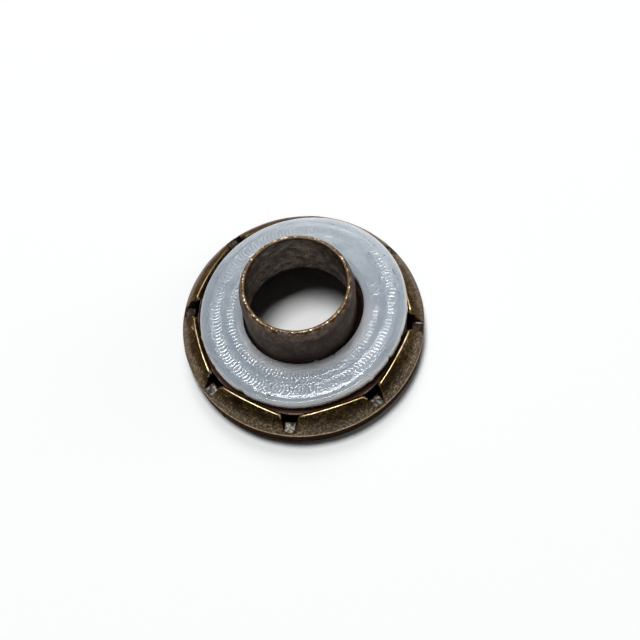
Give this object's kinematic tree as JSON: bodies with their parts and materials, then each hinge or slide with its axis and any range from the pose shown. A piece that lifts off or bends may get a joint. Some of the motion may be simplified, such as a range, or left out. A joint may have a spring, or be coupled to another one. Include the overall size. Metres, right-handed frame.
{
  "type": "lacing eyelet",
  "caption": "Round lacing eyelet lying face down: domed face ring crimped over a flanged barrel, with a loose plastic washer around the barrel.",
  "frame": {"origin": "on the barrel's axis, at the plane that the face ring stands on", "axes": "+Z along the barrel, away from the face; +X to the right and +Y away from the camera in the picture"},
  "size_m": [0.022, 0.022, 0.0095],
  "materials": {
    "antique_ring": "antiqued brass plate, worn along its ridges",
    "antique_barrel": "dark antiqued brass with a bare cut edge",
    "frosted_plastic": "milky translucent, moulded with fine overlapping rings"
  },
  "bodies": {
    "root": {"face_ring": "antique_ring", "barrel_flange": "antique_barrel", "plastic_washer": "frosted_plastic"}
  },
  "joints": []
}
